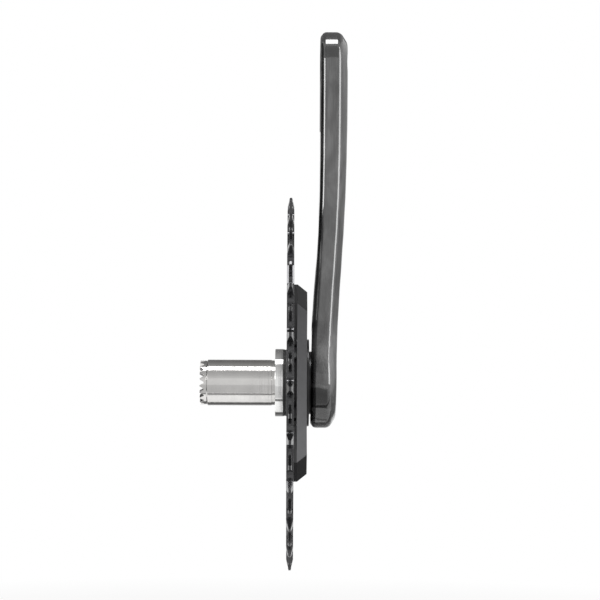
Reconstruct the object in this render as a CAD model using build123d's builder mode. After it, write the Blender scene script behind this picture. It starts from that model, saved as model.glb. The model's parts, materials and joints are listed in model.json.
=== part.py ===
from build123d import *
import os
from math import cos, hypot, pi, radians, sin, sqrt, tan

# Drive-side bicycle crank with a half spindle, its bearing, a spider and a single chainring.
# +X runs outboard along the spindle and +Z runs up along the arm. The origin is on the spindle
# axis, in the pitch plane of the face teeth, which is the centre plane of the bicycle.
# All sizes are in millimetres.

# Half spindle: a hollow half axle with face teeth on its inboard end
spindle_diameter = 25.0
spindle_bore = 18.5
face_tooth_count = 20
face_tooth_depth = 2.3
face_tooth_angle = 60.0
tooth_zone_length = 3.6
tooth_zone_step = 0.55
bolt_shelf_x = 9.0
bolt_shelf_thickness = 5.0
bolt_hole_diameter = 12.6
spindle_end_recess = 2.5
bearing_relief_width = 1.9
bearing_relief_depth = 0.25

# Arm: planform in YZ, S-curved side profile in XZ, bevels along both faces
crank_length = 175.0
foot_radius = 24.6
eye_half_width = 15.0
eye_end_height = 18.7
waist_half_width = 14.8
waist_height = 88.0
foot_blend_half_width = 20.5
foot_inner_x = 58.6
foot_thickness = 13.9
arm_sweep = 5.1
inner_bend_low = 21.0
inner_bend_middle = 60.0
inner_bend_high = 73.0
outer_bend_low = 32.0
outer_bend_high = 96.0
eye_thickness = 14.9
outer_bevel_width = 6.0
outer_bevel_depth = 3.6
inner_bevel_width = 2.6
inner_bevel_depth = 1.9
outer_edge_break = 1.3
inner_edge_break = 0.8
bond_gap = 0.05

# Pedal insert: the threaded bush in the pedal eye, its bore at the thread's minor diameter
insert_diameter = 18.0
pedal_bore = 12.9
insert_chamfer = 0.7

# Spider mount: bonded into the foot, with a flange, splines and a threaded nose
mount_neck_diameter = 34.2
mount_bond_depth = 4.0
mount_neck_length = 0.7
mount_flange_diameter = 47.4
mount_flange_thickness = 1.4
spline_count = 12
spline_root_diameter = 38.6
spline_height = 1.2
spline_width = 4.6
spline_clearance = 0.05
nose_diameter = 36.0
nose_length = 4.1
spigot_diameter = 28.4

# Spider: four arms with bevelled ends and raised pads under the chainring
arm_count = 4
first_arm_angle = 45.0
spider_thickness = 5.2
spider_end_radius = 65.0
spider_end_width = 14.6
spider_straight_side = 6.5
spider_valley_radius = 33.0
spider_end_bevel_width = 5.3
spider_end_bevel_depth = 5.0
pad_height = 1.7
pad_length = 26.0

# Lockring: the notched nut that clamps the spider on its mount
lockring_diameter = 46.0
lockring_thickness = 2.9
lockring_notches = 12
notch_width = 3.2
notch_depth = 1.6
thread_gap = 0.05

# Chainring: narrow and wide teeth in turn
tooth_count = 48
chain_pitch = 12.7
roller_seat_radius = 3.95
seat_half_angle = 70.0
tooth_tip_height = 3.8
chainring_thickness = 3.6
narrow_tooth_thickness = 1.75
first_narrow_angle = 9.15
narrow_pocket_floor = 4.7
tip_bevel_height = 5.0
tip_land = 1.2
rim_depth = 13.1
tab_radius = 8.2
tab_root_fillet = 7.0

# Chainring bolts: flush heads on the inboard face, threaded into the spider arms
bolt_circle_diameter = 110.0
bolt_head_diameter = 10.0
bolt_head_height = 1.8
bolt_shank_diameter = 7.0
bolt_depth_in_spider = 4.2
bolt_socket_size = 5.0
bolt_socket_sides = 6
bolt_socket_depth = 1.5
bolt_clearance = 0.05

# Cartridge bearing and its dust seal
bearing_inboard_x = 39.55
bearing_width = 6.0
bearing_outer_diameter = 37.0
ball_diameter = 3.175
ball_count = 12
ball_sides = 8
ball_clearance = 0.06
race_land_gap = 1.9
seal_thickness = 0.7
seal_inset = 0.25
running_clearance = 0.08
seat_clearance = 0.02
seal_step_length = 1.6
seal_step_depth = 0.9
dust_seal_step = 0.3
dust_seal_face = 0.8
cage_wall = 0.9
cage_rail = 0.8
finger_length = 2.6
cage_gap = 0.15

# How far off a face's direction or a corner's place may be when it is selected
select_tolerance = 0.01

# Positions along the spindle axis, worked out from the sizes above
spindle_radius = spindle_diameter / 2
foot_outer_x = foot_inner_x + foot_thickness
eye_inner_x = foot_inner_x + arm_sweep
eye_outer_x = eye_inner_x + eye_thickness
flange_outboard_x = foot_inner_x - mount_neck_length
spider_outboard_x = flange_outboard_x - mount_flange_thickness
spider_inboard_x = spider_outboard_x - spider_thickness
chainring_outboard_x = spider_inboard_x - pad_height
chainring_inboard_x = chainring_outboard_x - chainring_thickness
nose_inboard_x = spider_inboard_x - nose_length
bearing_outboard_x = bearing_inboard_x + bearing_width
ball_centre_x = bearing_inboard_x + bearing_width / 2
bolt_circle_radius = bolt_circle_diameter / 2
pitch_radius = chain_pitch / (2 * sin(pi / tooth_count))
rim_inner_radius = pitch_radius - roller_seat_radius - rim_depth


# Arm: the side profile swept across, cut to the planform, bevelled, with its sharp edges broken
arm_margin = eye_half_width
sweep_low = -foot_radius - arm_margin
sweep_high = crank_length + eye_end_height + arm_margin
foot_blend_z = sqrt(foot_radius**2 - foot_blend_half_width**2)
insert_radius = insert_diameter / 2


def faces_sideways(face):
    return abs(face.normal_at().X) < select_tolerance


with BuildPart() as crank_arm:
    with BuildSketch(Plane.XZ.offset(-2 * foot_radius)):
        with BuildLine():
            inner_curve = Bezier(
                (foot_inner_x, sweep_low),
                (foot_inner_x, inner_bend_low),
                (foot_inner_x, inner_bend_middle),
                (eye_inner_x, inner_bend_middle),
                (eye_inner_x, inner_bend_high),
                (eye_inner_x, sweep_high),
            )
            outer_curve = Bezier(
                (foot_outer_x, sweep_low),
                (foot_outer_x, outer_bend_low),
                (foot_outer_x, outer_bend_low),
                (eye_outer_x, outer_bend_high),
                (eye_outer_x, outer_bend_high),
                (eye_outer_x, sweep_high),
            )
            Line(inner_curve @ 0, outer_curve @ 0)
            Line(inner_curve @ 1, outer_curve @ 1)
        make_face()
    extrude(amount=4 * foot_radius)
    with BuildSketch(Plane.YZ):
        with BuildLine():
            foot_arc = ThreePointArc(
                (-foot_blend_half_width, foot_blend_z),
                (0, -foot_radius),
                (foot_blend_half_width, foot_blend_z),
            )
            front_side = Spline(
                foot_arc @ 1,
                (waist_half_width, waist_height),
                (eye_half_width, crank_length),
                tangents=(foot_arc % 1, (0, 1)),
            )
            EllipticalCenterArc((0, crank_length), eye_half_width, eye_end_height, arc_size=180)
            Spline(
                (-eye_half_width, crank_length),
                (-waist_half_width, waist_height),
                foot_arc @ 0,
                tangents=((0, -1), foot_arc % 0),
            )
        make_face()
    extrude(amount=2 * eye_outer_x, mode=Mode.INTERSECT)
    outer_face = crank_arm.faces().sort_by(Axis.X)[-1]
    chamfer(outer_face.edges(), outer_bevel_width, outer_bevel_depth, reference=outer_face)
    inner_face = crank_arm.faces().sort_by(Axis.X)[0]
    chamfer(inner_face.edges(), inner_bevel_width, inner_bevel_depth, reference=inner_face)
    side_faces = crank_arm.faces().filter_by(faces_sideways)
    chamfer([face.edges().sort_by(Axis.X)[-1] for face in side_faces], outer_edge_break)
    side_faces = crank_arm.faces().filter_by(faces_sideways)
    chamfer([face.edges().sort_by(Axis.X)[0] for face in side_faces], inner_edge_break)
    with BuildSketch(Plane.YZ):
        Circle(spindle_radius + bond_gap)
        with Locations((0, crank_length)):
            Circle(insert_radius + bond_gap)
    extrude(amount=2 * eye_outer_x, mode=Mode.SUBTRACT)
    with BuildSketch(Plane.YZ.offset(foot_inner_x - mount_neck_length)):
        Circle(mount_neck_diameter / 2 + bond_gap)
    extrude(amount=mount_neck_length + mount_bond_depth, mode=Mode.SUBTRACT)
crank_arm.part.label = "crank_arm"


# Pedal insert: a bush through the eye, flush with both faces
with BuildPart() as pedal_insert:
    with BuildSketch(Plane.YZ.offset(eye_inner_x)):
        with Locations((0, crank_length)):
            Circle(insert_radius)
            Circle(pedal_bore / 2, mode=Mode.SUBTRACT)
    extrude(amount=eye_thickness)
    bore_edges = pedal_insert.edges().filter_by(GeomType.CIRCLE).group_by(SortBy.RADIUS)[0]
    chamfer(bore_edges, insert_chamfer)
pedal_insert.part.label = "pedal_insert"


# Half spindle: one gap of the face teeth is a wedge that runs to a point on the axis
face_tip_x = -face_tooth_depth / 2
spindle_outboard_x = foot_outer_x - spindle_end_recess
relief_x = bearing_inboard_x - bearing_relief_width
face_half_gap = pi * spindle_diameter / face_tooth_count / 4
wedge_radius = spindle_radius + face_tooth_depth
wedge_scale = wedge_radius / spindle_radius
flank_slope = tan(radians(face_tooth_angle / 2))
wedge_floor_x = face_tooth_depth / 2
wedge_mouth_x = -face_tooth_depth

with BuildPart() as tooth_gap_wedge:
    with BuildSketch(Plane.XZ.offset(wedge_radius)) as wedge_base:
        Polygon(
            (wedge_scale * wedge_floor_x, wedge_scale * (face_half_gap - flank_slope * wedge_floor_x)),
            (wedge_scale * wedge_mouth_x, wedge_scale * (face_half_gap - flank_slope * wedge_mouth_x)),
            (wedge_scale * wedge_mouth_x, -wedge_scale * (face_half_gap - flank_slope * wedge_mouth_x)),
            (wedge_scale * wedge_floor_x, -wedge_scale * (face_half_gap - flank_slope * wedge_floor_x)),
            align=None,
        )
    loft([wedge_base.sketch, Vertex(0, 0, 0)])

with BuildPart() as half_spindle:
    with BuildSketch(Plane.XZ):
        Polygon(
            (face_tip_x, bolt_hole_diameter / 2),
            (face_tip_x, spindle_radius - tooth_zone_step),
            (face_tip_x + tooth_zone_length, spindle_radius - tooth_zone_step),
            (face_tip_x + tooth_zone_length + tooth_zone_step, spindle_radius),
            (relief_x, spindle_radius),
            (relief_x, spindle_radius - bearing_relief_depth),
            (bearing_inboard_x, spindle_radius - bearing_relief_depth),
            (bearing_inboard_x, spindle_radius),
            (spindle_outboard_x, spindle_radius),
            (spindle_outboard_x, spindle_bore / 2),
            (bolt_shelf_x + bolt_shelf_thickness, spindle_bore / 2),
            (bolt_shelf_x + bolt_shelf_thickness, bolt_hole_diameter / 2),
            align=None,
        )
    revolve(axis=Axis.X)
    with BuildSketch(Plane.YZ.offset(face_tip_x)):
        Circle(spindle_bore / 2)
    extrude(amount=bolt_shelf_x - face_tip_x, mode=Mode.SUBTRACT)
    for tooth in range(face_tooth_count):
        add(tooth_gap_wedge.part.rotate(Axis.X, tooth * 360 / face_tooth_count), mode=Mode.SUBTRACT)
half_spindle.part.label = "half_spindle"


# Spider mount: bonded into the foot, carrying the spider on its splines
def spline_outline(clearance):
    with BuildSketch() as outline:
        Circle(spline_root_diameter / 2 + clearance)
        with PolarLocations(spline_root_diameter / 2, spline_count):
            Rectangle(2 * (spline_height + clearance), spline_width + 2 * clearance)
    return outline.sketch


with BuildPart() as spider_mount:
    with BuildSketch(Plane.YZ.offset(flange_outboard_x)):
        Circle(mount_neck_diameter / 2)
    extrude(amount=mount_neck_length + mount_bond_depth)
    with BuildSketch(Plane.YZ.offset(spider_outboard_x)):
        Circle(mount_flange_diameter / 2)
    extrude(amount=mount_flange_thickness)
    with BuildSketch(Plane.YZ.offset(spider_inboard_x)):
        add(spline_outline(0))
    extrude(amount=spider_thickness)
    with BuildSketch(Plane.YZ.offset(nose_inboard_x)):
        Circle(nose_diameter / 2)
    extrude(amount=nose_length)
    with BuildSketch(Plane.YZ.offset(bearing_outboard_x)):
        Circle(spigot_diameter / 2)
    extrude(amount=nose_inboard_x - bearing_outboard_x)
    with BuildSketch(Plane.YZ.offset(bearing_outboard_x)):
        Circle(spindle_radius + bond_gap)
    extrude(amount=eye_outer_x, mode=Mode.SUBTRACT)
spider_mount.part.label = "spider_mount"


# Spider: a quarter of the outline, from one arm's centre line to the next, repeated four times
half_end = spider_end_width / 2
side_start = spider_end_radius - spider_straight_side
valley = spider_valley_radius / sqrt(2)

with BuildSketch() as spider_quarter:
    with BuildLine():
        ThreePointArc((side_start, half_end), (valley, valley), (half_end, side_start))
        Polyline((half_end, side_start), (half_end, spider_end_radius), (0, spider_end_radius), (0, 0))
        Polyline((0, 0), (spider_end_radius, 0), (spider_end_radius, half_end), (side_start, half_end))
    make_face()

with BuildPart() as spider:
    with BuildSketch(Plane.YZ.offset(spider_inboard_x)):
        with PolarLocations(0, arm_count, start_angle=first_arm_angle):
            add(spider_quarter.sketch)
    extrude(amount=spider_thickness)
    with BuildSketch(Plane.YZ.offset(chainring_outboard_x)):
        with PolarLocations(spider_end_radius - pad_length / 2, arm_count, start_angle=first_arm_angle):
            Rectangle(pad_length, spider_end_width)
    extrude(amount=pad_height)
    outboard_face = spider.faces().sort_by(Axis.X)[-1]
    end_edges = outboard_face.edges().filter_by(GeomType.LINE).group_by(SortBy.LENGTH)[-1]
    chamfer(end_edges, spider_end_bevel_width, spider_end_bevel_depth, reference=outboard_face)
    with BuildSketch(Plane.YZ.offset(spider_inboard_x)):
        add(spline_outline(spline_clearance))
    extrude(amount=spider_thickness, mode=Mode.SUBTRACT)
    with BuildSketch(Plane.YZ.offset(chainring_outboard_x)):
        with PolarLocations(bolt_circle_radius, arm_count, start_angle=first_arm_angle):
            Circle(bolt_shank_diameter / 2 + bolt_clearance)
    extrude(amount=bolt_depth_in_spider + bolt_clearance, mode=Mode.SUBTRACT)
spider.part.label = "spider"


# Lockring: screwed on the nose of the mount, against the spider
with BuildPart() as spider_lockring:
    with BuildSketch(Plane.YZ.offset(spider_inboard_x - lockring_thickness)):
        Circle(lockring_diameter / 2)
        Circle(nose_diameter / 2 + thread_gap, mode=Mode.SUBTRACT)
        with PolarLocations(lockring_diameter / 2, lockring_notches):
            Rectangle(2 * notch_depth, notch_width, mode=Mode.SUBTRACT)
    extrude(amount=lockring_thickness)
spider_lockring.part.label = "spider_lockring"


# Chainring: one gap between teeth is a roller seat with straight flanks up to the tips
tip_radius = pitch_radius + tooth_tip_height
seat_angle = radians(seat_half_angle)
seat_edge = (-roller_seat_radius * cos(seat_angle), roller_seat_radius * sin(seat_angle))
gap_top = tooth_tip_height + roller_seat_radius
gap_half_width = seat_edge[1] + (gap_top - seat_edge[0]) / tan(seat_angle)
tip_bevel_depth = (chainring_thickness - tip_land) / 2
pocket_depth = (chainring_thickness - narrow_tooth_thickness) / 2
pocket_height = narrow_pocket_floor + gap_top
pocket_radius = pitch_radius * cos(pi / tooth_count) + (gap_top - narrow_pocket_floor) / 2
half_pitch_angle = 180 / tooth_count
tab_length = rim_inner_radius + tab_radius - bolt_circle_radius

with BuildSketch() as tooth_gap:
    with BuildLine():
        ThreePointArc(seat_edge, (-roller_seat_radius, 0), (seat_edge[0], -seat_edge[1]))
        Polyline(
            (seat_edge[0], -seat_edge[1]),
            (gap_top, -gap_half_width),
            (gap_top, gap_half_width),
            seat_edge,
        )
    make_face()

with BuildPart() as chainring:
    with BuildSketch(Plane.YZ.offset(chainring_inboard_x)) as ring_outline:
        Circle(tip_radius)
        Circle(rim_inner_radius, mode=Mode.SUBTRACT)
        with PolarLocations(bolt_circle_radius, arm_count, start_angle=first_arm_angle):
            Circle(tab_radius)
        with PolarLocations(bolt_circle_radius + tab_length / 2, arm_count, start_angle=first_arm_angle):
            Rectangle(tab_length, 2 * tab_radius)
        tab_roots = ring_outline.vertices().filter_by(
            lambda corner: abs(hypot(corner.X, corner.Y) - rim_inner_radius) < select_tolerance
        )
        fillet(tab_roots, tab_root_fillet)
        with PolarLocations(pitch_radius, tooth_count, start_angle=first_narrow_angle + half_pitch_angle):
            add(tooth_gap.sketch, mode=Mode.SUBTRACT)
    extrude(amount=chainring_thickness)
    with BuildSketch(Plane.XZ):
        with BuildLine():
            Polyline(
                (chainring_inboard_x, tip_radius - tip_bevel_height),
                (chainring_inboard_x + tip_bevel_depth, tip_radius),
                (chainring_inboard_x, tip_radius),
                close=True,
            )
        make_face()
        with BuildLine():
            Polyline(
                (chainring_outboard_x, tip_radius - tip_bevel_height),
                (chainring_outboard_x - tip_bevel_depth, tip_radius),
                (chainring_outboard_x, tip_radius),
                close=True,
            )
        make_face()
    revolve(axis=Axis.X, mode=Mode.SUBTRACT)
    for face_x, inward in ((chainring_inboard_x, pocket_depth), (chainring_outboard_x, -pocket_depth)):
        with BuildSketch(Plane.YZ.offset(face_x)):
            with PolarLocations(pocket_radius, tooth_count // 2, start_angle=first_narrow_angle):
                Rectangle(pocket_height, chain_pitch)
        extrude(amount=inward, mode=Mode.SUBTRACT)
    with BuildSketch(Plane.YZ.offset(chainring_inboard_x)):
        with PolarLocations(bolt_circle_radius, arm_count, start_angle=first_arm_angle):
            Circle(bolt_shank_diameter / 2 + bolt_clearance)
    extrude(amount=chainring_thickness, mode=Mode.SUBTRACT)
    with BuildSketch(Plane.YZ.offset(chainring_inboard_x)):
        with PolarLocations(bolt_circle_radius, arm_count, start_angle=first_arm_angle):
            Circle(bolt_head_diameter / 2 + bolt_clearance)
    extrude(amount=bolt_head_height, mode=Mode.SUBTRACT)
chainring.part.label = "chainring"


# Chainring bolts: heads flush with the inboard face, shanks into the spider arms
with BuildPart() as chainring_bolts:
    with BuildSketch(Plane.YZ.offset(chainring_inboard_x)):
        with PolarLocations(bolt_circle_radius, arm_count, start_angle=first_arm_angle):
            Circle(bolt_head_diameter / 2)
    extrude(amount=bolt_head_height)
    with BuildSketch(Plane.YZ.offset(chainring_inboard_x)):
        with PolarLocations(bolt_circle_radius, arm_count, start_angle=first_arm_angle):
            Circle(bolt_shank_diameter / 2)
    extrude(amount=chainring_thickness + bolt_depth_in_spider)
    with BuildSketch(Plane.YZ.offset(chainring_inboard_x)):
        with PolarLocations(bolt_circle_radius, arm_count, start_angle=first_arm_angle):
            RegularPolygon(bolt_socket_size / 2, bolt_socket_sides, major_radius=False)
    extrude(amount=bolt_socket_depth, mode=Mode.SUBTRACT)
chainring_bolts.part.label = "chainring_bolts"


# Bearing: both races are turned about the spindle axis, with the balls halfway between them
outer_race_radius = bearing_outer_diameter / 2
ball_circle_radius = (spindle_radius + outer_race_radius) / 2
ball_radius = ball_diameter / 2
raceway_half_width = ball_radius + ball_clearance
inner_land_radius = ball_circle_radius - race_land_gap / 2
outer_land_radius = ball_circle_radius + race_land_gap / 2
inner_raceway_radius = ball_circle_radius - raceway_half_width
outer_raceway_radius = ball_circle_radius + raceway_half_width
step_x = bearing_outboard_x - seal_step_length
step_radius = outer_race_radius - seal_step_depth
dust_seal_radius = outer_race_radius - dust_seal_step

with BuildPart() as bearing_inner_race:
    with BuildSketch(Plane.XZ):
        with BuildLine():
            Polyline(
                (ball_centre_x - raceway_half_width, inner_land_radius),
                (bearing_inboard_x, inner_land_radius),
                (bearing_inboard_x, spindle_radius + seat_clearance),
                (bearing_outboard_x, spindle_radius + seat_clearance),
                (bearing_outboard_x, inner_land_radius),
                (ball_centre_x + raceway_half_width, inner_land_radius),
                (ball_centre_x + raceway_half_width / 2, inner_raceway_radius),
                (ball_centre_x - raceway_half_width / 2, inner_raceway_radius),
                close=True,
            )
        make_face()
    revolve(axis=Axis.X)
bearing_inner_race.part.label = "bearing_inner_race"

with BuildPart() as bearing_outer_race:
    with BuildSketch(Plane.XZ):
        with BuildLine():
            Polyline(
                (bearing_inboard_x, outer_race_radius),
                (bearing_inboard_x, outer_land_radius),
                (ball_centre_x - raceway_half_width, outer_land_radius),
                (ball_centre_x - raceway_half_width / 2, outer_raceway_radius),
                (ball_centre_x + raceway_half_width / 2, outer_raceway_radius),
                (ball_centre_x + raceway_half_width, outer_land_radius),
                (bearing_outboard_x, outer_land_radius),
                (bearing_outboard_x, step_radius),
                (step_x, step_radius),
                (step_x, outer_race_radius),
                close=True,
            )
        make_face()
    revolve(axis=Axis.X)
bearing_outer_race.part.label = "bearing_outer_race"

with BuildPart() as bearing_seal:
    with BuildSketch(Plane.YZ.offset(bearing_inboard_x + seal_inset)):
        Circle(outer_land_radius - seat_clearance)
        Circle(inner_land_radius + running_clearance, mode=Mode.SUBTRACT)
    extrude(amount=seal_thickness)
bearing_seal.part.label = "bearing_seal"

with BuildPart() as dust_seal:
    with BuildSketch(Plane.YZ.offset(step_x)):
        Circle(dust_seal_radius)
        Circle(step_radius + seat_clearance, mode=Mode.SUBTRACT)
    extrude(amount=seal_step_length)
    with BuildSketch(Plane.YZ.offset(bearing_outboard_x)):
        Circle(dust_seal_radius)
        Circle(spigot_diameter / 2 + running_clearance, mode=Mode.SUBTRACT)
    extrude(amount=dust_seal_face)
dust_seal.part.label = "dust_seal"


# Balls, which the seals hide, with eight flat sides and bevelled ends, and the crown cage around them
ball_side_angle = pi / ball_sides
ball_half_length = ball_radius * cos(ball_side_angle)
ball_bevel = ball_half_length - ball_radius * sin(ball_side_angle)
ball_spacing = 360 / ball_count
finger_width = 2 * ball_circle_radius * sin(radians(ball_spacing / 2)) - ball_diameter - 2 * cage_gap
rail_x = ball_centre_x + ball_radius + cage_gap

with BuildPart() as ball:
    with BuildSketch(Plane.XY.offset(-ball_half_length)):
        RegularPolygon(ball_radius, ball_sides)
    extrude(amount=2 * ball_half_length)
    chamfer(ball.faces().filter_by(Axis.Z).edges(), ball_bevel)

with BuildPart(Plane.YZ.offset(ball_centre_x)) as bearing_balls:
    with PolarLocations(ball_circle_radius, ball_count):
        add(ball.part)
bearing_balls.part.label = "bearing_balls"

with BuildPart() as bearing_cage:
    with BuildSketch(Plane.YZ.offset(rail_x)):
        Circle(ball_circle_radius + cage_wall / 2)
        Circle(ball_circle_radius - cage_wall / 2, mode=Mode.SUBTRACT)
    extrude(amount=cage_rail)
    with BuildSketch(Plane.YZ.offset(rail_x)):
        with PolarLocations(ball_circle_radius, ball_count, start_angle=ball_spacing / 2):
            Rectangle(cage_wall, finger_width)
    extrude(amount=-finger_length)
bearing_cage.part.label = "bearing_cage"


os.makedirs("parts", exist_ok=True)
pieces = (
    crank_arm,
    pedal_insert,
    half_spindle,
    spider_mount,
    spider,
    spider_lockring,
    chainring,
    chainring_bolts,
    bearing_inner_race,
    bearing_outer_race,
    bearing_seal,
    dust_seal,
    bearing_balls,
    bearing_cage,
)
for piece in pieces:
    export_step(piece.part, f"parts/{piece.part.label}.step")
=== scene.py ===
# %% [markdown]
# # A bicycle crank: looks on a fixed frame
# The crank is already a measured model: an arm, a hollow half spindle with face teeth, a bearing,
# a spider and a chainring. This lesson gives it its surfaces. Every piece stays where the frame
# has it, in metres, with +X outboard along the spindle and +Z up along the arm.

# %% Load the frame
import json
import math

import bmesh
import bpy
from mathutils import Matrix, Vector

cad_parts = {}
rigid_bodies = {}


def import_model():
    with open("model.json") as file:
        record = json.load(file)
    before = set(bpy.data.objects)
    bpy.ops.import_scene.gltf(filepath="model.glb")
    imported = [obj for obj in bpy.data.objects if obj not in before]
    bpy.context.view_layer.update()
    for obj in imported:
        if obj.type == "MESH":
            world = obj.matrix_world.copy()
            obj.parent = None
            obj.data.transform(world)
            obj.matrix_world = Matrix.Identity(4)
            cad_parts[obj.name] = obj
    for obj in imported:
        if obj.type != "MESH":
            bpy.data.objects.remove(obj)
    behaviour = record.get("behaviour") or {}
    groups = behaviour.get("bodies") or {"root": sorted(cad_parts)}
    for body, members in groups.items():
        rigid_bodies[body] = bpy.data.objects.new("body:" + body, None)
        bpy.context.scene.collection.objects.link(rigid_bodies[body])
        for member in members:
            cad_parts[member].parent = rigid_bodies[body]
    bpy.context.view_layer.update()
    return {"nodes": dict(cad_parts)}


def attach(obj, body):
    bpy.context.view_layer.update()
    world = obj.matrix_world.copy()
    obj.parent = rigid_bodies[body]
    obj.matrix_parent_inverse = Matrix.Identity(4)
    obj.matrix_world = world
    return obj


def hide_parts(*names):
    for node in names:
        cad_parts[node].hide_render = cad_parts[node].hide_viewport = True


bpy.ops.object.select_all(action="SELECT")
bpy.ops.object.delete()
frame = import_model()
nodes = frame["nodes"]
print("nodes", sorted(nodes))

# %% [markdown]
# ## The camera
# The photograph looks straight along the chainring, so the ring is a thin upright line. The width
# of the spindle gives the scale, and the spacing of the nearest chainring teeth, which are larger
# than the teeth at the top, gives the distance. The picture leans by about a fifth of a degree.

# %% Set the camera
camera_distance = 0.80
frame_width = 0.328
sensor_width = 36.0
camera_x = 0.0484
aim_x, aim_z = 0.0531, 0.0453
tilt = math.atan2(aim_z, camera_distance)
turn = math.atan2(aim_x - camera_x, camera_distance)
lean = math.radians(0.22)
bpy.ops.object.camera_add(
    location=(camera_x, -camera_distance, 0.0), rotation=(math.radians(90) + tilt, -lean, -turn)
)
camera = bpy.context.object
camera.data.sensor_width = sensor_width
camera.data.lens = sensor_width * camera_distance * math.cos(tilt) / frame_width
bpy.context.scene.camera = camera
print("lens", round(camera.data.lens, 1), "mm")

# %% [markdown]
# ## Tools for modelling by hand
# Work in edit mode always starts with a selection. `pick` selects points, edges or faces by a test
# on their place, `only` makes one object the selected and active one, and `settle` closes a piece:
# it merges doubled points, turns the faces outwards, rounds sharp edges, parents the piece to the
# body that carries it and hides the node it stands for. Weighted normals keep
# the large faces flat beside their small rounded edges. Sizes are written in millimetres.


# %% Selecting and closing
MM = 0.001
SAME_POINT = 0.001 * MM
NEAR = 0.01 * MM
BEVEL_ABOVE = math.radians(30)
SMOOTH_BELOW = math.radians(32)


def only(piece):
    bpy.ops.object.select_all(action="DESELECT")
    piece.select_set(True)
    bpy.context.view_layer.objects.active = piece


def pick(kind, test):
    bpy.ops.mesh.select_mode(type=kind)
    bpy.ops.mesh.select_all(action="DESELECT")
    mesh = bmesh.from_edit_mesh(bpy.context.object.data)
    items = {"VERT": mesh.verts, "EDGE": mesh.edges, "FACE": mesh.faces}[kind]
    for item in items:
        if test(item):
            item.select_set(True)
    bmesh.update_edit_mesh(bpy.context.object.data)


def size_mm(piece):
    return [round(length / MM, 2) for length in piece.dimensions]


def apply_modifier(piece, kind, **settings):
    only(piece)
    modifier = piece.modifiers.new(kind.lower(), kind)
    for name, value in settings.items():
        setattr(modifier, name, value)
    bpy.ops.object.modifier_apply(modifier=modifier.name)


def settle(piece, name, node, body, rounding=0.0):
    only(piece)
    piece.name = name
    piece.data.name = name
    bpy.ops.object.mode_set(mode="EDIT")
    bpy.ops.mesh.select_all(action="SELECT")
    bpy.ops.mesh.remove_doubles(threshold=SAME_POINT)
    bpy.ops.mesh.normals_make_consistent(inside=False)
    bpy.ops.object.mode_set(mode="OBJECT")
    if rounding:
        limits = {"limit_method": "ANGLE", "angle_limit": BEVEL_ABOVE}
        apply_modifier(piece, "BEVEL", width=rounding * MM, segments=2, **limits)
    only(piece)
    bpy.ops.object.shade_smooth_by_angle(angle=SMOOTH_BELOW)
    apply_modifier(piece, "WEIGHTED_NORMAL", keep_sharp=True)
    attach(piece, body)
    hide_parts(node)
    print(name, "faces", len(piece.data.polygons), "size mm", size_mm(piece))


# %% [markdown]
# ## Turned pieces
# The spindle, the bearing races, the seals and the pedal bush are turned on a lathe in real life.
# A lathe piece is a ring that is drawn along its axis: start with a circle, extrude its edge to
# the next corner of the section, and scale it to that corner's radius. The last ring is bridged to
# the first, so the section closes. A screw modifier could do the same, but this way every ring
# stays a clean loop that can be bevelled. A section lists its corners as place along the axle and
# radius.


# %% A lathe
def turned(section, height=0.0, sides=128):
    bpy.ops.object.select_all(action="DESELECT")
    start_x, start_radius = section[0]
    bpy.ops.mesh.primitive_circle_add(
        vertices=sides,
        radius=start_radius * MM,
        location=(start_x * MM, 0, height * MM),
        rotation=(0, math.radians(90), 0),
    )
    bpy.ops.object.transform_apply(location=True, rotation=True, scale=True)
    bpy.ops.object.mode_set(mode="EDIT")
    bpy.ops.mesh.select_mode(type="EDGE")
    bpy.ops.mesh.select_all(action="SELECT")
    for (x0, r0), (x1, r1) in zip(section, section[1:]):
        step = ((x1 - x0) * MM, 0, 0)
        bpy.ops.mesh.extrude_edges_move(TRANSFORM_OT_translate={"value": step})
        bpy.ops.transform.resize(
            value=(1, r1 / r0, r1 / r0), center_override=(x1 * MM, 0, height * MM)
        )
    bpy.ops.mesh.select_all(action="DESELECT")
    bpy.ops.mesh.select_non_manifold()
    bpy.ops.mesh.bridge_edge_loops()
    bpy.ops.object.mode_set(mode="OBJECT")
    return bpy.context.object


# %% [markdown]
# ## The half spindle
# The axle is split in the middle of the bicycle, and each half has a crown of V-shaped face teeth
# that lock into the other half. The tube is turned first. One gap between two teeth is a wedge
# that runs to a point on the axis: a plane is narrowed at one edge, extruded to the axis and
# merged there. Twenty turned copies are cut away together.

# %% Turn the tube
spindle_section = (
    (-1.15, 9.25), (-1.15, 11.95), (2.45, 11.95), (3.0, 12.5), (37.65, 12.5), (37.65, 12.25),
    (39.55, 12.25), (39.55, 12.5), (70.0, 12.5), (70.0, 9.25), (14.0, 9.25), (14.0, 6.3),
    (9.0, 6.3), (9.0, 9.25),
)
spindle = turned(spindle_section, sides=160)
print("spindle tube", len(spindle.data.vertices), "points")

# %% One gap between the face teeth
face_tooth_count = 20
spindle_diameter = 25.0
gap_floor_x, gap_mouth_x = 1.15, -2.3
gap_reach = 14.8
flank_slope = math.tan(math.radians(30))
gap_half_width = math.pi * spindle_diameter / face_tooth_count / 4
reach_scale = gap_reach / (spindle_diameter / 2)


def gap_width(x):
    return 2 * (gap_half_width - flank_slope * x) * reach_scale


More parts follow.
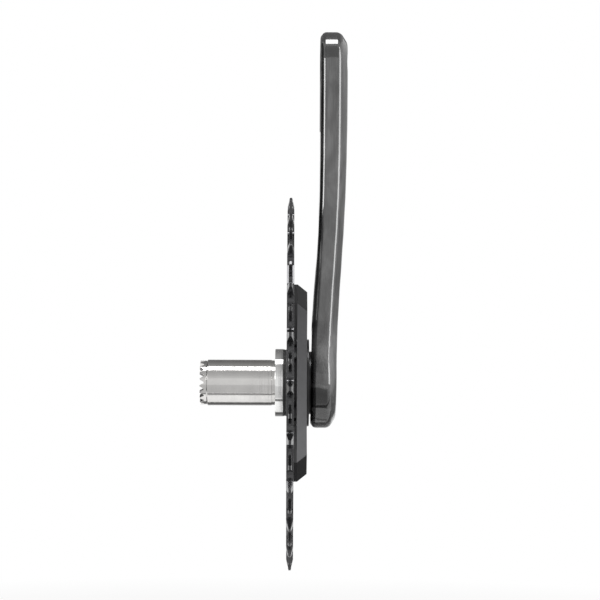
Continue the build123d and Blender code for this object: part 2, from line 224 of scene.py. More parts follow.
bpy.ops.object.select_all(action="DESELECT")
gap_depth = (gap_floor_x - gap_mouth_x) * reach_scale
gap_middle = (gap_floor_x + gap_mouth_x) / 2 * reach_scale
bpy.ops.mesh.primitive_plane_add(
    size=1, location=(gap_middle * MM, -gap_reach * MM, 0), rotation=(math.radians(90), 0, 0)
)
tooth_gap = bpy.context.object
tooth_gap.scale = (gap_depth * MM, gap_width(gap_mouth_x) * MM, 1)
bpy.ops.object.transform_apply(location=True, rotation=True, scale=True)
bpy.ops.object.mode_set(mode="EDIT")
pick("VERT", lambda point: point.co.x > gap_middle * MM)
floor_share = gap_width(gap_floor_x) / gap_width(gap_mouth_x)
bpy.ops.transform.resize(value=(1, 1, floor_share), center_override=(0, -gap_reach * MM, 0))
bpy.ops.mesh.select_mode(type="FACE")
bpy.ops.mesh.select_all(action="SELECT")
to_axis = (-gap_middle * MM, gap_reach * MM, 0)
bpy.ops.mesh.extrude_region_move(TRANSFORM_OT_translate={"value": to_axis})
bpy.ops.mesh.merge(type="CENTER")
bpy.ops.mesh.select_all(action="SELECT")
bpy.ops.mesh.normals_make_consistent(inside=False)
bpy.ops.object.mode_set(mode="OBJECT")
print("tooth gap size mm", size_mm(tooth_gap))

# %% Cut the crown of teeth
gaps = [tooth_gap]
for count in range(1, face_tooth_count):
    copy = tooth_gap.copy()
    copy.data = tooth_gap.data.copy()
    bpy.context.collection.objects.link(copy)
    copy.rotation_euler.x = count * math.tau / face_tooth_count
    gaps.append(copy)
only(tooth_gap)
for gap in gaps:
    gap.select_set(True)
bpy.ops.object.transform_apply(location=True, rotation=True, scale=True)
bpy.ops.object.join()
cut_away = {"operation": "DIFFERENCE", "solver": "EXACT"}
apply_modifier(spindle, "BOOLEAN", object=tooth_gap, use_self=True, **cut_away)
bpy.data.objects.remove(tooth_gap)
settle(spindle, "spindle_tube", "half_spindle", "crank", rounding=0.18)

# %% [markdown]
# ## The bearing and its seals
# The cartridge bearing has a ground outer ring with broken edges, a groove for the balls, and
# rubber seals. The wide rubber dust seal beside it closes the gap to the lockring.

# %% Turn the races
outer_race = turned((
    (39.55, 16.45), (39.55, 18.5), (43.95, 18.5), (43.95, 17.6), (45.55, 17.6), (45.55, 16.45),
    (44.2, 16.45), (43.37, 17.15), (41.73, 17.15), (40.9, 16.45),
))
settle(
    outer_race, "bearing_outer_ring", "bearing_outer_race", "outer_race",
    rounding=0.3,
)
inner_race = turned((
    (39.55, 12.52), (39.55, 14.55), (40.9, 14.55), (41.73, 13.85), (43.37, 13.85), (44.2, 14.55),
    (45.55, 14.55), (45.55, 12.52),
))
settle(
    inner_race, "bearing_inner_ring", "bearing_inner_race", "crank",
    rounding=0.25,
)

# %% Turn the seals
seal = turned((
    (39.8, 14.63), (39.8, 15.1), (39.98, 15.3), (39.98, 15.8), (39.8, 16.0), (39.8, 16.43),
    (40.5, 16.43), (40.5, 14.63),
))
settle(seal, "bearing_rubber_seal", "bearing_seal", "outer_race", rounding=0.06)
dust_seal = turned((
    (43.95, 17.62), (43.95, 18.2), (44.75, 18.2), (44.9, 17.95), (45.1, 17.95), (45.25, 18.2),
    (46.35, 18.2), (46.35, 14.28), (45.55, 14.28), (45.55, 17.62),
))
settle(dust_seal, "dust_seal_ring", "dust_seal", "outer_race", rounding=0.12)

# %% [markdown]
# ## The pedal bush
# A metal bush with the pedal thread is bonded in the eye of the arm, a little below both faces.
# Its thread has a pitch of 1.27 mm, so the section runs up and down the V of each turn.

# %% Turn the threaded bush
eye_inner_x, eye_outer_x, pedal_height = 63.7, 78.6, 175.0
inner_recess, outer_recess, mouth_length = 0.45, 0.4, 1.1
bush_inner_x, bush_outer_x = eye_inner_x + inner_recess, eye_outer_x - outer_recess
bush_radius, mouth_radius = 9.0, 7.1
thread_crest, thread_root = 6.45, 7.0
thread_pitch, thread_turns = 1.27, 10
thread_start = eye_outer_x - mouth_length
bush_section = [
    (bush_inner_x, mouth_radius), (bush_inner_x, bush_radius),
    (bush_outer_x, bush_radius), (bush_outer_x, mouth_radius),
]
for ring in range(thread_turns):
    bush_section.append((thread_start - ring * thread_pitch, thread_crest))
    bush_section.append((thread_start - (ring + 0.5) * thread_pitch, thread_root))
bush_section.append((thread_start - thread_turns * thread_pitch, thread_crest))
bush = turned(bush_section, height=pedal_height, sides=96)
settle(bush, "pedal_bush", "pedal_insert", "crank")

# %% [markdown]
# ## The arm
# The arm is laid up in carbon round a core: a round foot, a narrow waist, a round eye, flat sides,
# and bevels along both faces. Its outline is two arcs joined by two long edges. The edges are cut
# into stations, and each station is scaled to its half width, as a boat builder works from a table
# of widths. The outline is filled, extruded, and both faces are inset with a depth, which makes
# the bevels.

# %% Draw the arcs of the foot and the eye
foot_radius, eye_half_width, eye_end_height = 24.6, 15.0, 18.7
foot_inner_x, foot_outer_x = 58.6, 72.5
inner_bevel_width, inner_bevel_depth = 2.6, 1.9
outer_bevel_width, outer_bevel_depth = 6.0, 3.6
middle_height = 100.0
blend_height = foot_radius / 2
blend_half_width = foot_radius * math.cos(math.radians(30))
outline_x = foot_inner_x + inner_bevel_depth
upright = (0, math.radians(90), 0)
bpy.ops.object.select_all(action="DESELECT")
bpy.ops.mesh.primitive_circle_add(
    vertices=96, radius=foot_radius * MM, location=(outline_x * MM, 0, 0), rotation=upright
)
arm = bpy.context.object
bpy.ops.object.transform_apply(location=True, rotation=True, scale=True)
bpy.ops.object.mode_set(mode="EDIT")
pick("VERT", lambda point: point.co.z > blend_height * MM + NEAR)
bpy.ops.mesh.delete(type="VERT")
eye_place = (outline_x * MM, 0, pedal_height * MM)
bpy.ops.mesh.primitive_circle_add(
    vertices=96, radius=eye_half_width * MM, location=eye_place, rotation=upright
)
pick("VERT", lambda point: middle_height * MM < point.co.z < pedal_height * MM - NEAR)
bpy.ops.mesh.delete(type="VERT")
pick("VERT", lambda point: point.co.z > middle_height * MM)
eye_stretch = eye_end_height / eye_half_width
bpy.ops.transform.resize(value=(1, 1, eye_stretch), center_override=(0, 0, pedal_height * MM))
print("arc points", len(bmesh.from_edit_mesh(arm.data).verts))

# %% Join the arcs by two long edges
half_widths = (
    17.61, 15.38, 14.06, 13.33, 13.01, 12.99, 13.17, 13.49, 13.90, 14.32, 14.73, 15.07,
    15.33, 15.50, 15.58, 15.61, 15.58, 15.50, 15.41, 15.30, 15.19, 15.09, 15.04,
)


def side_end(point, side):
    at_foot = abs(point.co.z - blend_height * MM) < NEAR
    at_eye = abs(point.co.z - pedal_height * MM) < NEAR
    return (at_foot or at_eye) and point.co.y * side > 0


for side in (1, -1):
    pick("VERT", lambda point: side_end(point, side))
    bpy.ops.mesh.edge_face_add()
    bpy.ops.mesh.subdivide(number_cuts=len(half_widths))
print("arm outline points", len(bmesh.from_edit_mesh(arm.data).verts))

# %% Set the widths and give the outline its thickness
span_count = len(half_widths) + 1
station_step = (pedal_height - blend_height) / span_count
for station, half_width in enumerate(half_widths, start=1):
    level = blend_height + station * station_step
    straight = blend_half_width + (eye_half_width - blend_half_width) * station / span_count
    pick("VERT", lambda point: abs(point.co.z - level * MM) < NEAR)
    bpy.ops.transform.resize(value=(1, half_width / straight, 1), center_override=(0, 0, 0))
bpy.ops.mesh.select_all(action="SELECT")
bpy.ops.mesh.edge_face_add()
side_thickness = foot_outer_x - foot_inner_x - inner_bevel_depth - outer_bevel_depth
bpy.ops.mesh.extrude_region_move(TRANSFORM_OT_translate={"value": (side_thickness * MM, 0, 0)})
bpy.ops.mesh.select_all(action="SELECT")
bpy.ops.mesh.normals_make_consistent(inside=False)
nearly_square = 0.9
for facing, width, depth in (
    (1, outer_bevel_width, outer_bevel_depth),
    (-1, inner_bevel_width, inner_bevel_depth),
):
    pick("FACE", lambda face: face.normal.x * facing > nearly_square)
    bpy.ops.mesh.inset(thickness=width * MM, depth=depth * MM, use_even_offset=True)
print("arm faces", len(bmesh.from_edit_mesh(arm.data).faces))

# %% [markdown]
# The corners of the section are rounded as a mould rounds them. Each corner is a loop of edges
# that lie in one plane, so the loops are selected by their place along the axle, from the outer
# face inwards.

# %% Round the corners of the section
outer_ring_x = outline_x + side_thickness
corners = (
    (foot_outer_x, 1.4, 4),
    (outer_ring_x, 2.2, 6),
    (outline_x, 1.1, 4),
    (foot_inner_x, 0.8, 3),
)


def in_plane(edge, x):
    return all(abs(point.co.x - x * MM) < 2 * SAME_POINT for point in edge.verts)


for corner_x, width, segments in corners:
    pick("EDGE", lambda edge: in_plane(edge, corner_x))
    bpy.ops.mesh.bevel(offset=width * MM, segments=segments, profile=0.5, affect="EDGES")
print("rounded arm faces", len(bmesh.from_edit_mesh(arm.data).faces))

# %% [markdown]
# The arm sweeps outwards on its way up, so that the foot of the rider clears the frame. A lattice
# is a cage of handles round the piece: fourteen levels of handles are pulled outwards, and the arm
# follows in a smooth curve. The arm first gets cross cuts, because a long face without points
# can't bend.

# %% Cut across the arm
cut_count, cut_step = 37, 5
for cut in range(cut_count):
    bpy.ops.mesh.select_all(action="SELECT")
    bpy.ops.mesh.bisect(plane_co=(0, 0, cut * cut_step * MM), plane_no=(0, 0, 1))
bpy.ops.object.mode_set(mode="OBJECT")
print("cross cuts", cut_count, "arm points", len(arm.data.vertices))

# %% Bend the arm with a lattice
cage_low, cage_step = -44.0, 20.0
inner_levels = (
    58.60, 58.61, 58.69, 58.99, 59.71, 61.04, 62.36,
    63.09, 63.43, 63.59, 63.67, 63.69, 63.70, 63.70,
)
outer_levels = (
    72.50, 72.51, 72.60, 72.95, 73.76, 74.95, 76.22,
    77.27, 77.97, 78.35, 78.52, 78.58, 78.60, 78.60,
)
handles_per_level = 4
level_count = len(inner_levels)
cage_height = cage_step * (level_count - 1)
cage_middle = (foot_inner_x + foot_outer_x) / 2
cage_size = (foot_outer_x - foot_inner_x, 2 * foot_radius, cage_height)
cage_place = (cage_middle * MM, 0, (cage_low + cage_height / 2) * MM)
bpy.ops.object.select_all(action="DESELECT")
bpy.ops.object.add(type="LATTICE", location=cage_place)
cage = bpy.context.object
cage.scale = [size * MM for size in cage_size]
cage.data.points_u, cage.data.points_v, cage.data.points_w = 2, 2, level_count
cage.data.interpolation_type_u = "KEY_LINEAR"
cage.data.interpolation_type_v = "KEY_LINEAR"
cage.data.interpolation_type_w = "KEY_CARDINAL"
for number, handle in enumerate(cage.data.points):
    level = number // handles_per_level
    target = outer_levels[level] if handle.co.x > 0 else inner_levels[level]
    handle.co_deform.x = (target - cage_middle) / cage_size[0]
bpy.context.view_layer.update()
apply_modifier(arm, "LATTICE", object=cage)
bpy.data.objects.remove(cage)
print("bent arm size mm", size_mm(arm))

# %% Bore the foot and the eye
spindle_hole_radius, bush_hole_radius = 12.55, 9.02
recess_radius, recess_depth = 17.15, 4.0
through, recess_drill = 40.0, 20.0
foot_middle_x, eye_middle_x = 65.0, 70.0
bores = (
    (foot_middle_x, spindle_hole_radius, through, 0.0),
    (foot_inner_x + recess_depth - recess_drill / 2, recess_radius, recess_drill, 0.0),
    (eye_middle_x, bush_hole_radius, through, pedal_height),
)
for middle_x, radius, length, level in bores:
    bpy.ops.object.select_all(action="DESELECT")
    bpy.ops.mesh.primitive_cylinder_add(
        vertices=128, radius=radius * MM, depth=length * MM,
        location=(middle_x * MM, 0, level * MM), rotation=upright,
    )
    drill = bpy.context.object
    apply_modifier(arm, "BOOLEAN", object=drill, **cut_away)
    bpy.data.objects.remove(drill)
settle(arm, "carbon_arm", "crank_arm", "crank")

# %% [markdown]
# ## Machined pieces
# The spider, its mount, the lockring, the chainring and the bolts are milled, and their shapes in
# the frame are right already. What a plain solid lacks is the small broken edge that every milled
# part has and that catches the light. A copy of each node is merged, its flat triangles are joined
# into whole faces, and a bevel breaks the edges.


# %% Break the edges of the milled pieces
def milled(node, name, edge):
    piece = nodes[node].copy()
    piece.data = nodes[node].data.copy()
    bpy.context.collection.objects.link(piece)
    only(piece)
    bpy.ops.mesh.customdata_custom_splitnormals_clear()
    bpy.ops.object.mode_set(mode="EDIT")
    bpy.ops.mesh.select_all(action="SELECT")
    bpy.ops.mesh.remove_doubles(threshold=SAME_POINT)
    bpy.ops.mesh.dissolve_limited(angle_limit=math.radians(1.0))
    bpy.ops.object.mode_set(mode="OBJECT")
    settle(piece, name, node, "crank", rounding=edge)


milled("spider", "spider_milled", edge=0.6)
milled("spider_mount", "spider_mount_turned", edge=0.2)
milled("spider_lockring", "lockring_notched", edge=0.25)
milled("chainring", "chainring_milled", edge=0.18)
milled("chainring_bolts", "chainring_bolt_set", edge=0.2)

# %% [markdown]
# ## Shader sums
# Node trees are easier to read as sums. Signal wraps a node's output, so that `1 - mask` adds a
# Math node, and Finish is one material whose `add` method makes any other node. `fade` is a mask
# that goes from nought at one value to one at another, and `multiply` darkens one colour by
# another. Places inside a material are in metres, as the Object coordinates are.


# %% A class for shader sums
class Signal:
    def __init__(self, finish, socket):
        self.finish = finish
        self.socket = socket

    def maths(self, operation, first, second):
        return self.finish.add("ShaderNodeMath", {"operation": operation}, {0: first, 1: second})

    def __add__(self, other):
        return self.maths("ADD", self, other)

    def __radd__(self, other):
        return self.maths("ADD", other, self)

    def __sub__(self, other):
        return self.maths("SUBTRACT", self, other)

    def __rsub__(self, other):
        return self.maths("SUBTRACT", other, self)

    def __mul__(self, other):
        return self.maths("MULTIPLY", self, other)

    def __rmul__(self, other):
        return self.maths("MULTIPLY", other, self)


# %% A class for materials
MIX_FIRST, MIX_SECOND, MIX_RESULT = 6, 7, 2


class Finish:
    def __init__(self, name):
        self.material = bpy.data.materials.new(name)
        self.material.use_nodes = True
        self.tree = self.material.node_tree
        self.shader = self.tree.nodes["Principled BSDF"]

    def connect(self, socket, value):
        if isinstance(value, Signal):
            self.tree.links.new(value.socket, socket)
        else:
            socket.default_value = value

    def add(self, kind, settings, inputs, output=0):
        node = self.tree.nodes.new(kind)
        for name, value in settings.items():
            if name == "stops":
                ramp = node.color_ramp
                ramp.elements[0].position, ramp.elements[0].color = value[0]
                ramp.elements[1].position, ramp.elements[1].color = value[-1]
                for position, colour in value[1:-1]:
                    ramp.elements.new(position).color = colour
            else:
                setattr(node, name, value)
        for name, value in inputs.items():
            self.connect(node.inputs[name], value)
        return Signal(self, node.outputs[output])

    def place(self):
        return self.add("ShaderNodeTexCoord", {}, {}, "Object")

    def part(self, vector, axis):
        return self.add("ShaderNodeSeparateXYZ", {}, {"Vector": vector}, axis)

    def noise(self, vector, scale, detail, distortion=0.0):
        inputs = {"Vector": vector, "Scale": scale, "Detail": detail, "Distortion": distortion}
        return self.add("ShaderNodeTexNoise", {}, inputs)

    def fade(self, value, nought_at, one_at):
        inputs = {"Value": value, "From Min": nought_at, "From Max": one_at}
        return self.add("ShaderNodeMapRange", {"clamp": True}, inputs)

    def ramp(self, value, stops, tint=(1.0, 1.0, 1.0)):
        colours = [(at, tuple(level * share for share in tint) + (1.0,)) for at, level in stops]
        return self.add("ShaderNodeValToRGB", {"stops": colours}, {"Fac": value})

    def multiply(self, colour, other, factor=1.0):
        settings = {"data_type": "RGBA", "blend_type": "MULTIPLY"}
        inputs = {"Factor": factor, MIX_FIRST: colour, MIX_SECOND: other}
        return self.add("ShaderNodeMix", settings, inputs, MIX_RESULT)

    def vector(self, operation, first, second=(0.0, 0.0, 0.0), output=0):
        inputs = {0: first, 1: second}
        return self.add("ShaderNodeVectorMath", {"operation": operation}, inputs, output)

    def reach(self, place, centre=(0.0, 0.0, 0.0), axial_share=0.0):
        moved = self.vector("SUBTRACT", place, centre)
        flat = self.vector("MULTIPLY", moved, (axial_share, 1.0, 1.0))
        return self.vector("LENGTH", flat, output="Value")

    def bump(self, height, strength, distance):
        inputs = {"Height": height, "Strength": strength, "Distance": distance}
        return self.add("ShaderNodeBump", {}, inputs, "Normal")

    def surface(self, **sockets):
        for name, value in sockets.items():
            words = name.replace("_", " ").title().replace("Ior", "IOR")
            self.connect(self.shader.inputs[words], value)


def grey(level):
    return (level, level, level, 1.0)


# %% [markdown]
# ## Carbon under clear coat
# The arm is black carbon fibre under a thick gloss lacquer. Under the gloss lie fine fibres along
# the arm and soft marbled patches where the layers change direction. Both are noise on Object
# coordinates: one stretched along the arm, one swirled by its own distortion. The patches stand
# out most near the foot.

# %% Carbon
carbon = Finish("carbon_clear_coat")
place = carbon.place()
across, height = carbon.part(place, "X"), carbon.part(place, "Z")
along_arm = (1.0, 1.0, 0.03)
fibre_place = carbon.add("ShaderNodeMapping", {}, {"Vector": place, "Scale": along_arm})
fibres = carbon.noise(fibre_place, scale=2200.0, detail=3.0)
layer_turn = (math.radians(28), 0.0, math.radians(12))
layer_stretch = (1.0, 1.0, 0.35)
layer_place = carbon.add(
    "ShaderNodeMapping", {}, {"Vector": place, "Rotation": layer_turn, "Scale": layer_stretch}
)
patches = carbon.noise(layer_place, scale=75.0, detail=5.0, distortion=1.6)
near_foot = carbon.fade(height, nought_at=0.045, one_at=0.010)
arm_contrast, foot_contrast = 0.6, 0.7
patch_share, fibre_share, middle = 0.75, 0.25, 0.5
contrast = arm_contrast + near_foot * foot_contrast
blend = middle + (patches * patch_share + fibres * fibre_share - middle) * contrast
blacks = ((0.34, 0.012), (0.46, 0.038), (0.54, 0.066), (0.68, 0.130))
marbling = carbon.ramp(blend, blacks)
print("marbling", carbon.material.name)

# %% [markdown]
# The sides of the foot get painted dark reflections: a darker patch and two thin dark lines that
# run across. They are bands of height, slanted and bent by the marbling, and they fade out towards
# the outer bevel. The eye has a darker end, a painted dark reflection made in the same way.

# %% Painted dark reflections on the foot
dark_bands_low, dark_bands_high = -0.025, 0.007
dark_bands_height = dark_bands_high - dark_bands_low
foot_dark_bands = (
    (-25.0, 1.0), (-20.9, 0.80), (-20.5, 0.0), (-19.8, 0.0), (-19.4, 0.45), (-13.5, 0.40),
    (-13.1, 0.0), (-12.5, 0.0), (-12.1, 0.12), (-6.0, 0.03), (-3.2, 0.10), (-2.2, 0.80),
    (-1.4, 0.90), (-0.6, 0.45), (2.0, 0.55), (7.0, 1.0),
)
bend, slant, slant_x = 0.004, 0.12, 0.064
bent = height + (patches - middle) * bend + (across - slant_x) * slant
dark_band_place = (bent - dark_bands_low) * (1 / dark_bands_height)
dark_band_stops = [((at * MM - dark_bands_low) / dark_bands_height, level) for at, level in foot_dark_bands]
on_side = carbon.fade(across, nought_at=0.0692, one_at=0.0672)
# painted dark reflections on the sides of the foot, kept off the outer bevel
foot_painted_dark = 1.0 - on_side * (1.0 - carbon.ramp(dark_band_place, dark_band_stops))
print("foot bands", len(foot_dark_bands))

# %% Painted dark reflection at the eye
eye_bend, eye_painted_depth = 0.003, 0.8
bent_at_eye = height + (patches - middle) * eye_bend
eye_dark_band = carbon.fade(bent_at_eye, nought_at=0.1762, one_at=0.1770)
off_inner_face = carbon.fade(across, nought_at=0.0650, one_at=0.0660)
off_outer_face = carbon.fade(across, nought_at=0.0750, one_at=0.0742)
# painted dark reflection on the side face at the end of the eye
eye_painted_dark = 1.0 - eye_painted_depth * eye_dark_band * off_inner_face * off_outer_face
print("eye painted dark above", round(pedal_height), "mm")

# %% [markdown]
# The inner edge of the arm is darker above the foot: painted shade, where little light comes from
# the left. On a short stretch of it the coat is weaker, which takes away a reflection that shade
# would hide. The table that bent the arm also gives the place of its inner face at each height.
# The gloss itself is the coat of the shader, smooth apart from a faint ripple, and weaker where
# the painted dark reflections on the foot are.

# %% The inner edge
cage_share = (height - cage_low * MM) * (1 / (cage_height * MM))
face_stops = [(n / (level_count - 1), level * MM) for n, level in enumerate(inner_levels)]
edge_depth = across - carbon.ramp(cage_share, face_stops)
edge_darkening = 0.75
past_face = carbon.fade(edge_depth, nought_at=0.0002, one_at=0.0006)
near_face = carbon.fade(edge_depth, nought_at=0.0040, one_at=0.0016)
above_foot = carbon.fade(height, nought_at=0.020, one_at=0.045)
# painted shade along the inner edge above the foot
inner_shade = 1.0 - edge_darkening * past_face * near_face * above_foot
dull_coat_above = carbon.fade(height, nought_at=0.026, one_at=0.031)
dull_coat_below = carbon.fade(height, nought_at=0.068, one_at=0.061)
dull_coat_inside = carbon.fade(edge_depth, nought_at=0.0034, one_at=0.0024)
# a weaker coat on this stretch stands in for shade that hides a reflection
shade_dulled_coat = dull_coat_above * dull_coat_below * dull_coat_inside
print("inner edge from", inner_levels[0], "to", inner_levels[-1], "mm along the axle")

# %% The lacquer
ripple = carbon.noise(place, scale=60.0, detail=1.0)
foot_unpainted = carbon.fade(foot_painted_dark, nought_at=0.0, one_at=0.4)
dark_coat, pale_gain, thinning = 0.55, 0.45, 0.95
carbon.surface(
    # base colour: marbling with painted dark reflections on foot and eye and painted shade on the
    # inner edge
    base_color=carbon.multiply(marbling, foot_painted_dark * eye_painted_dark * inner_shade),
    roughness=0.34 + patches * 0.12,
    normal=carbon.bump(ripple, strength=0.04, distance=0.0006),
    specular_ior_level=0.15,
    coat_weight=(dark_coat + foot_unpainted * pale_gain) * (1.0 - thinning * shade_dulled_coat),
    coat_roughness=0.04,
    coat_ior=1.8,
)
print("carbon nodes", len(carbon.tree.nodes))

# %% [markdown]
# ## Turned metal
# A lathe leaves rings round the axis, finer than a tenth of a millimetre. Along the spindle they
# are a noise of one coordinate, the place along the axle. On the bush, which stands off the axle,
# they are a noise of the distance from its own centre. The rings show as slightly rougher and
# smoother bands, and they draw a reflection out across the axle. The drilled bore is duller.


# %% Metal from the lathe
BORE_NEAR, BORE_FAR, BORE_ROUGHNESS = 0.0001, 0.0004, 0.32


def turned_metal(name, level, tint, smooth, rough, ring_scale, ring_depth, centre=None, bore=None):
    finish = Finish(name)
    place = finish.place()
    if centre is None:
        along = finish.part(place, "X")
    else:
        along = finish.reach(place, centre, axial_share=0.15)
    rings = finish.add(
        "ShaderNodeTexNoise",
        {"noise_dimensions": "1D"},
        {"W": along * ring_scale, "Scale": 1.0, "Detail": 3.0},
    )
    cloud = finish.noise(place, scale=120.0, detail=4.0)
    roughness = smooth + rings * (rough - smooth)
    if bore is not None:
        inside = finish.fade(finish.reach(place), bore + BORE_FAR, bore + BORE_NEAR)
        roughness = roughness + inside * BORE_ROUGHNESS
    shades = ((0.30, level * 0.90), (0.70, level * 1.08))
    finish.surface(
        base_color=finish.ramp(cloud * 0.6 + rings * 0.4, shades, tint),
        metallic=1.0,
        roughness=roughness,
        normal=finish.bump(rings, strength=0.5, distance=ring_depth),
    )
    print(name, "rings per mm", round(ring_scale * MM, 1))
    return finish


# %% Spindle, bearing and bush metal
spindle_metal = turned_metal(
    "turned_titanium", 0.58, (1.0, 0.985, 0.965), smooth=0.11, rough=0.13,
    ring_scale=9000.0, ring_depth=0.000034, bore=0.00925,
)
bearing_steel = turned_metal(
    "ground_steel", 0.74, (1.0, 1.0, 0.99), smooth=0.03, rough=0.06,
    ring_scale=5200.0, ring_depth=0.00003,
)
bush_metal = turned_metal(
    "bush_alloy", 0.55, (1.0, 0.99, 0.97), smooth=0.18, rough=0.34,
    ring_scale=4200.0, ring_depth=0.00002, centre=(0.0711, 0.0, pedal_height * MM),
)

# %% [markdown]
# ## Black aluminium
# Anodised aluminium is a dark oxide skin on metal that was blasted or milled first. A fine grain
# breaks up the gloss. The spider is the palest and most satin, the chainring is darker, and the
# mount and the lockring are the darkest. Where a chain runs over the teeth, the skin is polished a
# little. The pads between the spider and the chainring get painted shade, for the shade in the gap
# between the parts. The bevels on the ends of its arms are smoother and more metallic, and painted
# darker as a painted dark reflection. Folding the place into one quarter tests all four bevels at
# once.


# %% Black finishes
COOL = (1.0, 1.0, 1.03)
GRAIN_DEPTH = 0.00001
WORN_BAND, WORN_PALER, WORN_SMOOTHER = 0.006, 0.12, 0.08
PAD_EDGE, PAD_PAINTED_SHADE = 0.00005, 0.25
END_FAR, END_NEAR = 0.0003, 0.0001
END_PAINTED_DARK, END_SMOOTHER, END_METAL = 0.22, 0.18, 0.3


def black_skin(
    name, level, rough, grain_scale, metallic, polish_radius=None, pad_face=None, end_plane=None
):
    finish = Finish(name)
    place = finish.place()
    grain = finish.noise(place, grain_scale, detail=2.0)
    cloud = finish.noise(place, scale=45.0, detail=4.0)
    shade_mix = cloud * 0.7 + grain * 0.3
    roughness = rough - 0.03 + grain * 0.06
    if polish_radius is not None:
        inner_worn, outer_worn = polish_radius - WORN_BAND, polish_radius + WORN_BAND
        worn = finish.fade(finish.reach(place), inner_worn, outer_worn)
        shade_mix = shade_mix + worn * WORN_PALER
        roughness = roughness - worn * WORN_SMOOTHER
    shade = finish.ramp(shade_mix, ((0.30, level * 0.86), (0.70, level * 1.14)), COOL)
    # painted shade on the pads, in the gap between the spider and the chainring
    if pad_face is not None:
        across = finish.part(place, "X")
        pads_in_painted_shade = finish.fade(across, pad_face + PAD_EDGE, pad_face - PAD_EDGE)
        shade = finish.multiply(shade, grey(PAD_PAINTED_SHADE), pads_in_painted_shade)
    # painted dark reflection on the bevels at the ends of the spider's arms
    if end_plane is not None:
        facing, offset = end_plane
        folded = finish.vector("ABSOLUTE", place)
        outwards = finish.vector("DOT_PRODUCT", folded, facing, "Value")
        at_end = finish.fade(outwards, offset - END_FAR, offset - END_NEAR)
        shade = finish.multiply(shade, grey(END_PAINTED_DARK), at_end)
        roughness = roughness - at_end * END_SMOOTHER
        metallic = metallic + at_end * END_METAL
    finish.surface(
        base_color=shade,
        metallic=metallic,
        roughness=roughness,
        normal=finish.bump(grain, strength=0.25, distance=GRAIN_DEPTH),
    )
    print(name, "nodes", len(finish.tree.nodes))
    return finish


# %% The spider, the chainring, the mount and the bolts
bevel_width, bevel_depth = 5.3, 5.0
spider_face_x, bevel_start = 56.5, 59.7
diagonal = math.sqrt(0.5)
end_facing = Vector((bevel_width, bevel_depth * diagonal, bevel_depth * diagonal)).normalized()
end_corner = Vector((spider_face_x, bevel_start * diagonal, bevel_start * diagonal)) * MM
end_plane = (end_facing, end_facing.dot(end_corner))
spider_black = black_skin(
    "satin_black_spider", level=0.095, rough=0.66, grain_scale=2600.0, metallic=0.55,
    pad_face=0.0513, end_plane=end_plane,
)
chainring_black = black_skin(
    "hard_black_chainring", level=0.065, rough=0.22, grain_scale=3200.0, metallic=0.9,
    polish_radius=0.094,
)
mount_black = black_skin(
    "anodised_black", level=0.030, rough=0.30, grain_scale=3000.0, metallic=0.8
)
bolt_black = black_skin(
    "coated_bolt_black", level=0.060, rough=0.24, grain_scale=2400.0, metallic=0.9
)

# %% [markdown]
# ## Rubber and plastic
# Moulded rubber is dull and slightly mottled. The cage of the bearing is a dark moulded plastic
# that hardly shows.


# %% Rubber and plastic
def moulded(name, level, rough, tint):
    finish = Finish(name)
    place = finish.place()
    mottle = finish.noise(place, scale=500.0, detail=4.0)
    pores = finish.add("ShaderNodeTexVoronoi", {}, {"Vector": place, "Scale": 2400.0})
    finish.surface(
        base_color=finish.ramp(mottle, ((0.30, level * 0.75), (0.70, level * 1.3)), tint),
        roughness=rough - 0.08 + mottle * 0.16,
        normal=finish.bump(pores, strength=0.15, distance=0.00003),
    )
    print(name, "nodes", len(finish.tree.nodes))
    return finish


seal_rubber = moulded("moulded_rubber", level=0.022, rough=0.55, tint=(1.0, 1.0, 1.0))
cage_plastic = moulded("cage_nylon", level=0.040, rough=0.42, tint=(1.05, 1.0, 0.92))

# %% Dress the pieces
dressing = {
    carbon: ("carbon_arm",),
    spindle_metal: ("spindle_tube",),
    bearing_steel: ("bearing_outer_ring", "bearing_inner_ring", "bearing_balls"),
    bush_metal: ("pedal_bush",),
    spider_black: ("spider_milled",),
    chainring_black: ("chainring_milled",),
    mount_black: ("spider_mount_turned", "lockring_notched"),
    bolt_black: ("chainring_bolt_set",),
    seal_rubber: ("bearing_rubber_seal", "dust_seal_ring"),
    cage_plastic: ("bearing_cage",),
}
for finish, names in dressing.items():
    for name in names:
        piece = nodes[name] if name in nodes else bpy.data.objects[name]
        if not piece.material_slots:
            piece.data.materials.append(finish.material)
        for slot in piece.material_slots:
            slot.material = finish.material
    print(finish.material.name, "on", ", ".join(names))

# %% [markdown]
# ## Light
# The spindle works as a curved mirror and shows the studio: a softbox overhead, a pale table that
# throws light up from below, pale grey in front, and a dark card above and behind. Two strips at
# the sides draw the bright lines along the rounded edges of the arm.


# %% Softboxes
def softbox(name, location, target, width, height, brightness):
    bpy.ops.object.light_add(type="AREA", location=location)
    lamp = bpy.context.object
    lamp.name = name
    lamp.data.shape = "RECTANGLE"
    lamp.data.size = width
    lamp.data.size_y = height
    lamp.data.energy = brightness * math.pi * width * height
    aim = Vector(target) - Vector(location)
    lamp.rotation_euler = aim.to_track_quat("-Z", "Y").to_euler()
    print(name, "power W", round(lamp.data.energy, 2))


softbox("overhead_softbox", (0.05, -0.24, 0.93), (0.05, -0.24, 0.0), 0.50, 0.26, 10.5)
softbox("table_bounce", (-0.214, 0.0, -0.245), (-0.214, 0.0, 0.0), 0.50, 0.22, 0.42)
softbox("right_strip", (0.74, -0.50, 0.50), (0.07, 0.0, 0.50), 0.30, 1.10, 5.2)
softbox("left_strip", (-0.60, -0.55, 0.30), (0.07, 0.0, 0.30), 0.36, 0.30, 8.0)

# %% [markdown]
# Grey and dark cards shape what the metal mirrors: dark behind the softbox and left of the crank,
# a soft grey towards the ceiling in front, the edges of the table below. Each card is graded from
# one level at its lower edge to another at its upper edge, as a sheet of paper is under a lamp. On
# a card that lies flat, the upper edge is the one nearer to the camera. They are part of the
# stage, they give no more light than a grey wall, and the camera doesn't see them.


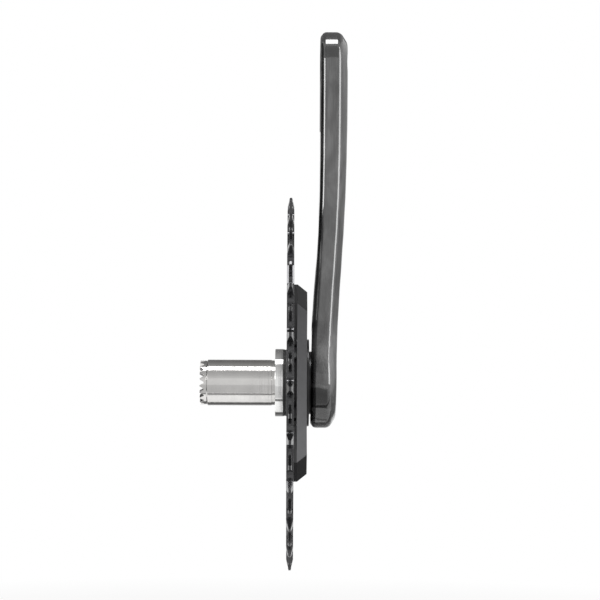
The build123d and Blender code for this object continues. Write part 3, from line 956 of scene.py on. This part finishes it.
# %% Cards
def card(name, location, target, width, depth, low_level, high_level):
    bpy.ops.mesh.primitive_plane_add(size=1, location=location)
    piece = bpy.context.object
    piece.name = name
    piece.scale = (width, depth, 1)
    aim = Vector(target) - Vector(location)
    piece.rotation_euler = aim.to_track_quat("Z", "Y").to_euler()
    piece.visible_camera = False
    piece.visible_diffuse = False
    piece.visible_shadow = False
    paint = Finish(name + "_paint")
    upwards = paint.part(paint.place(), "Y") + 0.5
    glow = paint.ramp(upwards, ((0.0, low_level), (1.0, high_level)))
    # the card glows: its graded emission stands in for the light a real card would take from the
    # lamps
    paint.surface(
        base_color=grey(0.0), roughness=1.0, emission_color=glow, emission_strength=1.0
    )
    piece.data.materials.append(paint.material)
    print(name, "from", low_level, "to", high_level)


axle = (0.05, 0.0, 0.0)
arm_middle = (0.07, 0.0, 0.12)
card("back_card", (0.05, 0.2855, 0.829), axle, 1.4, 0.82, 0.18, 0.44)
card("back_low_card", (0.05, 0.763, 0.477), axle, 1.4, 0.44, 0.24, 0.18)
card("left_card", (-0.50, 0.18, 0.12), arm_middle, 0.60, 0.9, 0.0, 0.0)
card("right_card", (0.60, 0.32, 0.12), arm_middle, 0.70, 0.9, 0.0, 1.0)
card("front_high_card", (0.05, -0.554, 0.709), axle, 1.2, 0.32, 0.62, 0.50)
card("front_mid_card", (0.05, -0.771, 0.463), axle, 1.2, 0.34, 0.85, 0.60)
card("front_low_card", (0.05, -0.665, -0.243), (0.05, -0.665, 1.0), 2.0, 0.95, 0.74, 0.74)
card("table_front_edge", (0.05, -0.1425, -0.243), (0.05, -0.1425, 1.0), 1.2, 0.043, 0.20, 0.20)
card("table_back_edge", (0.05, 0.51, -0.243), (0.05, 0.51, 1.0), 1.2, 0.78, 0.80, 0.06)

# %% [markdown]
# ## World and floor
# The world is white to the camera and in mirrors, and gives a weaker fill light. The floor is matt
# and pale, keeps the shadow of the crank, and goes over into the white of the world with distance.

# %% World
fill_strength, seen_strength = 0.45, 1.0
world = bpy.data.worlds.new("studio")
bpy.context.scene.world = world
world.use_nodes = True
sky = world.node_tree
background = sky.nodes["Background"]
background.inputs["Color"].default_value = grey(1.0)


def seen_directly(tree):
    ray = tree.nodes.new("ShaderNodeLightPath")
    total = ray.outputs["Is Camera Ray"]
    for name in ("Is Glossy Ray", "Is Transmission Ray"):
        either = tree.nodes.new("ShaderNodeMath")
        either.operation = "MAXIMUM"
        tree.links.new(total, either.inputs[0])
        tree.links.new(ray.outputs[name], either.inputs[1])
        total = either.outputs["Value"]
    return total


strength = sky.nodes.new("ShaderNodeMapRange")
strength.inputs["To Min"].default_value = fill_strength
strength.inputs["To Max"].default_value = seen_strength
sky.links.new(seen_directly(sky), strength.inputs["Value"])
sky.links.new(strength.outputs["Result"], background.inputs["Strength"])
print("world", world.name)

# %% Floor
floor_height = -0.25
bpy.ops.mesh.primitive_plane_add(size=6, location=(0, 0, floor_height))
floor = bpy.context.object
floor.name = "studio_floor"
white = Finish("floor_white")
white.surface(base_color=grey(0.9), roughness=0.9)
distance = white.vector("LENGTH", white.place(), output="Value")
near, far, near_share, far_share = 0.45, 1.1, 0.55, 1.0
limits = {"From Min": near, "From Max": far, "To Min": near_share, "To Max": far_share}
backdrop = white.add("ShaderNodeMapRange", {"clamp": True}, {"Value": distance, **limits})
glow_share = backdrop * Signal(white, seen_directly(white.tree))
glow = white.add("ShaderNodeEmission", {}, {"Color": grey(1.0), "Strength": 1.0})
lit_floor = Signal(white, white.shader.outputs["BSDF"])
mix = white.add("ShaderNodeMixShader", {}, {"Fac": glow_share, 1: lit_floor, 2: glow})
white.connect(white.tree.nodes["Material Output"].inputs["Surface"], mix)
floor.data.materials.append(white.material)
print("stage", floor.name)

# %% Finish
bpy.context.scene.view_settings.view_transform = "Standard"
